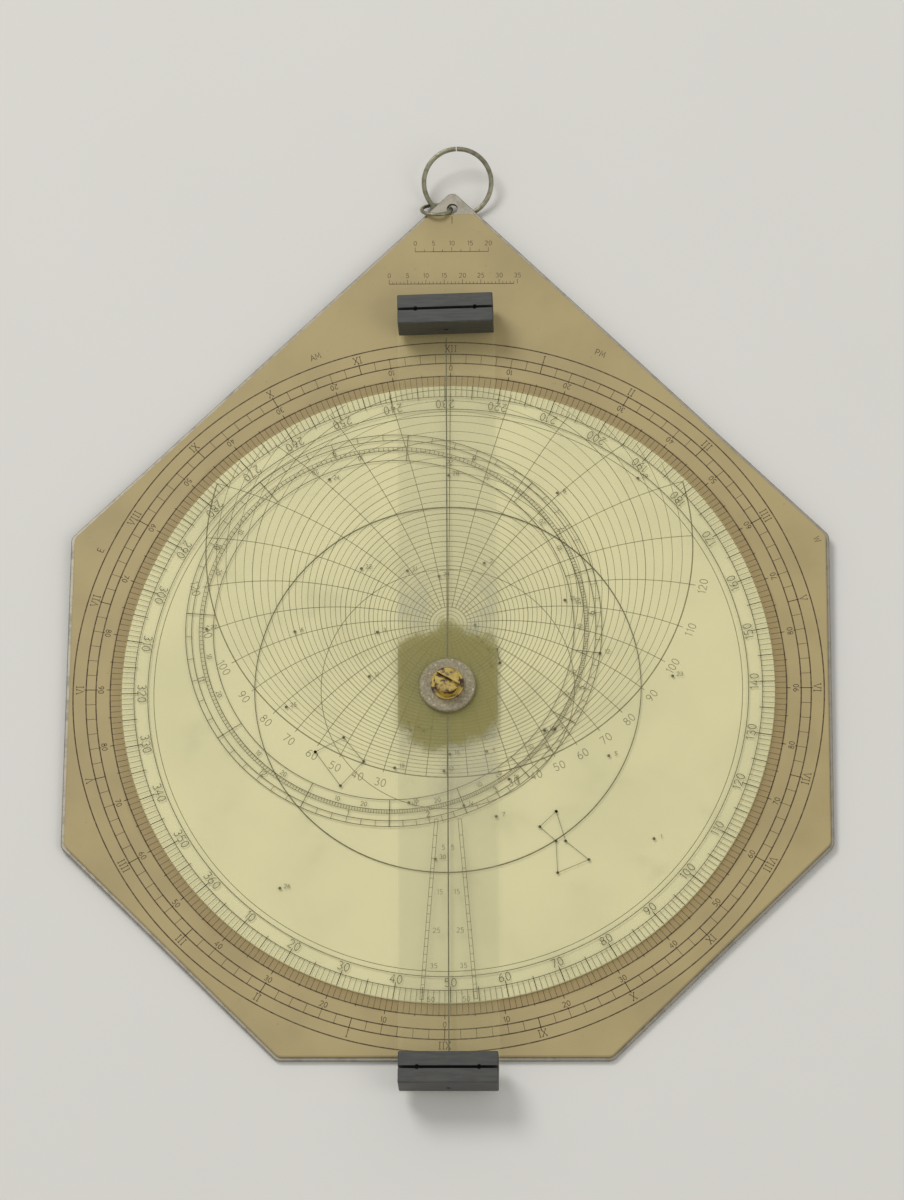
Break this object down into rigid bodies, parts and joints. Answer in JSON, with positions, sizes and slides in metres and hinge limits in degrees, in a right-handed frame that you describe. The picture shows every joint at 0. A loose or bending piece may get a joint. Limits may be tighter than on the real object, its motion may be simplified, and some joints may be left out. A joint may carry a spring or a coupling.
{
  "type": "planispheric astrolabe",
  "caption": "Flat eight-sided astrolabe plate with a pointed top, turning star disc, turning rule with sight blocks, and a wire hanging ring.",
  "frame": {"origin": "on the pivot axis, at the back face of the backing plate", "axes": "+Z out of the printed face along the pivot axis, +Y towards the tip with the hanging hole, +X to the right of the printed face"},
  "size_m": [0.2032, 0.2677, 0.016],
  "materials": {
    "plate_metal": "dull rolled sheet, lightly scuffed",
    "printed_sheet": "tan ivorine, printed",
    "pale_sheet": "pale yellow ivorine, printed",
    "clear_celluloid": "yellowed clear celluloid, engraved",
    "ebonite": "sawn and rubbed hard rubber",
    "pin_steel": "dark steel",
    "washer_grey": "oxidised, speckled",
    "turned_brass": "turned, partly tarnished",
    "ring_wire": "drawn wire, worn plating"
  },
  "bodies": {
    "plate": {"base_plate": "plate_metal", "limb_sheet": "printed_sheet", "latitude_plate": "pale_sheet", "pivot_post": "turned_brass", "pivot_washer": "washer_grey", "pivot_collar": "turned_brass", "pivot_screw": "turned_brass"},
    "star_disc": {"star_disc": "clear_celluloid"},
    "rule": {"rule": "clear_celluloid", "upper_sight": "ebonite", "lower_sight": "ebonite", "upper_sight_pins": "pin_steel", "lower_sight_pins": "pin_steel"},
    "link": {"suspension_link": "ring_wire"},
    "ring": {"suspension_ring": "ring_wire"}
  },
  "joints": [
    {"name": "star_disc_turn", "type": "hinge", "parent": "plate", "child": "star_disc", "pos_m": [0, 0, 0], "axis": [0, 0, 1], "continuous": true},
    {"name": "rule_turn", "type": "hinge", "parent": "plate", "child": "rule", "pos_m": [0, 0, 0], "axis": [0, 0, 1], "continuous": true},
    {"name": "link_swing", "type": "hinge", "parent": "plate", "child": "link", "pos_m": [0, 0.1398, 0], "axis": [0, 0, 1], "range_deg": [-30, 0]},
    {"name": "ring_swing", "type": "hinge", "parent": "link", "child": "ring", "pos_m": [-0.00589, 0.14226, -0.00073], "axis": [0.6157, -0.7391, -0.2734], "range_deg": [-150, 0]}
  ]
}
